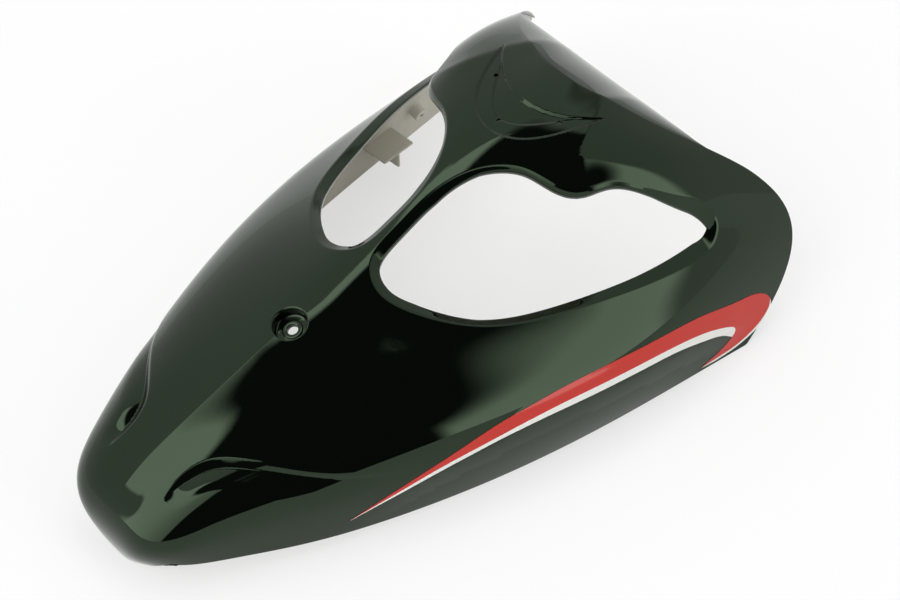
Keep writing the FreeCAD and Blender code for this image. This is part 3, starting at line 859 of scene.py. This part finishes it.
# Side stripes: printed film under clear lacquer, a red blade with a white line under it, hooked at its rear
# end. Each edge is given in side view by distance along and height.
STRIPE_UPPER = (
    (123, 23), (165, 42), (205, 55), (239, 62.8), (265, 65.1), (292, 66.1), (320, 65.1), (344, 63.2),
    (367, 60.8), (391, 57.9), (420, 53.1), (440, 47.8), (460, 42.4), (472, 39.5), (482, 35), (488, 30),
    (491, 25),
)
STRIPE_REAR = (
    (491, 25), (489, 20), (483, 14.9), (476, 11.5), (469, 9.4), (461, 7.6), (453, 6.2), (441, 5.4),
    (429, 5.3), (416, 5),
)
STRIPE_OUTLINE = (
    (491, 25), (490.5, 20), (486, 14.5), (478, 10), (470, 7.6), (461, 5.8), (453, 4.4), (441, 3.6),
    (429, 3.6), (416, 5),
)
STRIPE_MIDDLE = (
    (123, 23), (160, 37), (190, 46), (215, 50.5), (237, 53.3), (264, 55.4), (292, 55.6), (316, 54.2),
    (340, 52.2), (364, 49.6), (388, 46.1), (407, 42.3), (427, 36.4), (440, 30.9), (448, 26.4), (451, 23),
    (450, 19.5), (447.5, 17),
)
STRIPE_HOOK = ((447.5, 17), (439, 12.2), (428, 8.6), (416, 5))
STRIPE_LOWER = (
    (123, 23), (160, 35), (190, 43), (215, 47.5), (236, 50.2), (256, 51.3), (275, 51.5), (296, 50.6),
    (316, 49.2), (340, 47.2), (363, 44.7), (388, 41), (406, 36.6), (422, 31.5), (436, 25.9), (447.5, 17),
)
FILM_LIFT = 0.2
BLADE_COLUMNS, HOOK_COLUMNS = 180, 60


def evenly(points, count):
    """A smooth line through points, cut into even lengths."""
    curve = spline(points, 40)
    length = np.concatenate([[0], np.cumsum(np.linalg.norm(np.diff(curve, axis=0), axis=1))])
    even = np.linspace(0, length[-1], count)
    return np.stack([np.interp(even, length, curve[:, 0]), np.interp(even, length, curve[:, 1])], 1)


def film_patch(sheet, first_line, second_line, count, rows, hand):
    """A patch of film between two lines of the side view, laid on the skin."""
    share = np.linspace(0, 1, rows)[:, None, None]
    flat = (1 - share) * evenly(first_line, count) + share * evenly(second_line, count)
    u, v = on_flank(flat.reshape(-1, 2))
    normal = normals(shell, u, v)
    points = shell(u, v) + FILM_LIFT * normal
    mirror = np.array([hand, 1, 1])
    sheet.strip((points * mirror).reshape(rows, count, 3), False, (normal * mirror).reshape(rows, count, 3))


red_film = plain_material("red_film", (0.52, 0.012, 0.001), 0.1)
white_film = plain_material("white_film", (0.78, 0.78, 0.74), 0.12)
for hand, side_name in ((1, "right"), (-1, "left")):
    red = Sheet()
    film_patch(red, STRIPE_UPPER, STRIPE_MIDDLE, BLADE_COLUMNS, 12, hand)
    film_patch(red, STRIPE_REAR, STRIPE_HOOK, HOOK_COLUMNS, 12, hand)
    white = Sheet()
    film_patch(white, STRIPE_MIDDLE, STRIPE_LOWER, BLADE_COLUMNS, 6, hand)
    film_patch(white, STRIPE_OUTLINE, STRIPE_REAR, HOOK_COLUMNS, 3, hand)
    for sheet, material, name in ((red, red_film, "stripe_red"), (white, white_film, "stripe_white")):
        stripe = sheet.piece(f"{name}_{side_name}", material)
        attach(stripe, "root")
        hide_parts(f"side_stripe_{side_name}")

# Floor: a wide sheet of white paper. It is matt for the light that falls on the cowl, and shows nearly
# white to the camera and in reflections, with the cowl's shadow.
FLOOR_SIZE, PAPER, PAPER_GLOW, PAPER_SHADE = 8, 0.9, 0.6, 0.36
bpy.ops.mesh.primitive_plane_add(size=FLOOR_SIZE)
floor = bpy.context.object
floor.name = "floor"
paper = plain_material("floor", (PAPER, PAPER, PAPER), 1.0)
nodes, links = paper.node_tree.nodes, paper.node_tree.links
paper_shader = nodes["Principled BSDF"]
paper_shader.inputs["Specular IOR Level"].default_value = 0
glow = nodes.new("ShaderNodeEmission")
glow.inputs["Strength"].default_value = PAPER_GLOW
pale = nodes.new("ShaderNodeBsdfDiffuse")
pale.inputs["Color"].default_value = (PAPER_SHADE, PAPER_SHADE, PAPER_SHADE, 1)
shown = nodes.new("ShaderNodeAddShader")
mix = nodes.new("ShaderNodeMixShader")
rays = nodes.new("ShaderNodeLightPath")


def calculate(operation, *values):
    """A math node of sockets and numbers."""
    node = nodes.new("ShaderNodeMath")
    node.operation = operation
    for socket, value in zip(node.inputs, values):
        if isinstance(value, (int, float)):
            socket.default_value = value
        else:
            links.new(value, socket)
    return node.outputs[0]


mirrored = calculate("MAXIMUM", rays.outputs["Is Glossy Ray"], rays.outputs["Is Transmission Ray"])
links.new(calculate("MAXIMUM", rays.outputs["Is Camera Ray"], mirrored), mix.inputs[0])
links.new(glow.outputs[0], shown.inputs[0])
links.new(pale.outputs[0], shown.inputs[1])
links.new(paper_shader.outputs[0], mix.inputs[1])
links.new(shown.outputs[0], mix.inputs[2])
links.new(mix.outputs[0], nodes["Material Output"].inputs["Surface"])
floor.data.materials.append(paper)

# Studio: soft panels stand round the part and show in its lacquer, and two lamps light the floor and the
# films. Directions are degrees: azimuth from the nose towards the right side, and height above the floor.
# The front panel's sides lean, and it dims towards its right.
DARK = 0.02
PANEL_TOP, FRONT_LEFT_EDGE = (64, 68), (-31, -29.5)
FRONT_LEAN_START, FRONT_LEAN_RATE, FRONT_SLANT, STRIP_SLANT = 10, 0.074, 0.3, 1.28
FRONT_DIM_SPAN, FRONT_DIM_LOSS = (-35, 55), 0.65
world = bpy.data.worlds.new("studio")
bpy.context.scene.world = world
world.use_nodes = True
nodes, links = world.node_tree.nodes, world.node_tree.links
direction = nodes.new("ShaderNodeTexCoord")
parts = nodes.new("ShaderNodeSeparateXYZ")
links.new(direction.outputs["Generated"], parts.inputs[0])
ahead = calculate("MULTIPLY", parts.outputs["Y"], -1)
azimuth = calculate("DEGREES", calculate("ARCTAN2", parts.outputs["X"], ahead))
height = calculate("DEGREES", calculate("ARCSINE", parts.outputs["Z"]))


def step_up(value, low, high):
    """Smooth step of a socket."""
    node = nodes.new("ShaderNodeMapRange")
    node.interpolation_type = "SMOOTHSTEP"
    node.inputs["From Min"].default_value = low
    node.inputs["From Max"].default_value = high
    links.new(value, node.inputs["Value"])
    return node.outputs["Result"]


def panel(strength, left, right, top):
    """A soft panel inside three edges, each a socket of degrees with the pair that it fades over."""
    width = calculate("SUBTRACT", step_up(*left), step_up(*right))
    level = calculate("SUBTRACT", 1, step_up(*top))
    return calculate("MULTIPLY", calculate("MULTIPLY", width, level), strength)


back_azimuth = calculate("WRAP", azimuth, 360, 0)
lean_height = calculate("SUBTRACT", height, FRONT_LEAN_START)
lean = calculate("MAXIMUM", calculate("MULTIPLY", lean_height, FRONT_LEAN_RATE), 0)
front_left = calculate("ADD", azimuth, calculate("POWER", lean, 3))
front_right = calculate("SUBTRACT", azimuth, calculate("MULTIPLY", height, FRONT_SLANT))
strip_top = calculate("SUBTRACT", height, calculate("MULTIPLY", azimuth, STRIP_SLANT))
front = panel(2.8, (front_left, *FRONT_LEFT_EDGE), (front_right, 27, 30), (height, *PANEL_TOP))
loss = calculate("MULTIPLY", step_up(front_right, *FRONT_DIM_SPAN), FRONT_DIM_LOSS)
dimmer = calculate("SUBTRACT", 1, loss)
light = calculate("ADD", calculate("MULTIPLY", front, dimmer), DARK)
for soft_panel in (
    panel(0.84, (azimuth, -148, -140), (front_left, *FRONT_LEFT_EDGE), (height, *PANEL_TOP)),
    panel(2.6, (azimuth, 88, 91), (azimuth, 118, 122), (strip_top, -110, -87)),
    panel(0.76, (back_azimuth, 118, 122), (back_azimuth, 205, 222), (height, 78, 86)),
):
    light = calculate("ADD", light, soft_panel)
links.new(light, nodes["Background"].inputs["Color"])


def turned(right, up, back, place):
    """Pose with these axes at a place."""
    pose = np.eye(4)
    pose[:3] = np.stack([right, up, back, place], 1)
    return Matrix(pose.tolist())


def lamp(name, place, size, power):
    """A soft lamp aimed at the part, kept out of the lacquer's reflections."""
    data = bpy.data.lights.new(name, "AREA")
    data.size = size
    data.energy = power
    source = bpy.data.objects.new(name, data)
    bpy.context.collection.objects.link(source)
    source.visible_glossy = False
    aim = unit(np.array(place, float))
    side = unit(np.cross((0.0, 1.0, 0.1), aim))
    source.matrix_world = turned(side, np.cross(aim, side), aim, place)


lamp("overhead", (-0.4, 0.5, 2.5), 1.5, 9.0)
lamp("right_fill", (2.0, -1.2, 1.2), 1.6, 5.0)

# Camera: the photograph's view, from the right of the nose and above, solved on pairs of mirrored features.
# Its lens is long: 100 mm for a sensor 36 mm wide.
TURN, LIFT, LEAN = np.radians([47.37, 48.86, 0.12])
TARGET = np.array([14.21, 41.92, 41.44])
DISTANCE, FOCAL_PIXELS, IMAGE_WIDTH, SENSOR = 1850.0, 2500.0, 900.0, 36.0
level = np.array([np.cos(TURN), np.sin(TURN), 0])
back = np.array([np.sin(TURN) * np.cos(LIFT), -np.cos(TURN) * np.cos(LIFT), np.sin(LIFT)])
upright = np.cross(back, level)
right = np.cos(LEAN) * level + np.sin(LEAN) * upright
up = np.cos(LEAN) * upright - np.sin(LEAN) * level
camera = bpy.data.objects.new("camera", bpy.data.cameras.new("camera"))
bpy.context.collection.objects.link(camera)
camera.data.sensor_width = SENSOR
camera.data.lens = FOCAL_PIXELS / IMAGE_WIDTH * SENSOR
camera.data.clip_end = 50
camera.matrix_world = turned(right, up, back, (TARGET + back * DISTANCE) / METRE)
bpy.context.scene.camera = camera
bpy.context.scene.view_settings.view_transform = "Standard"
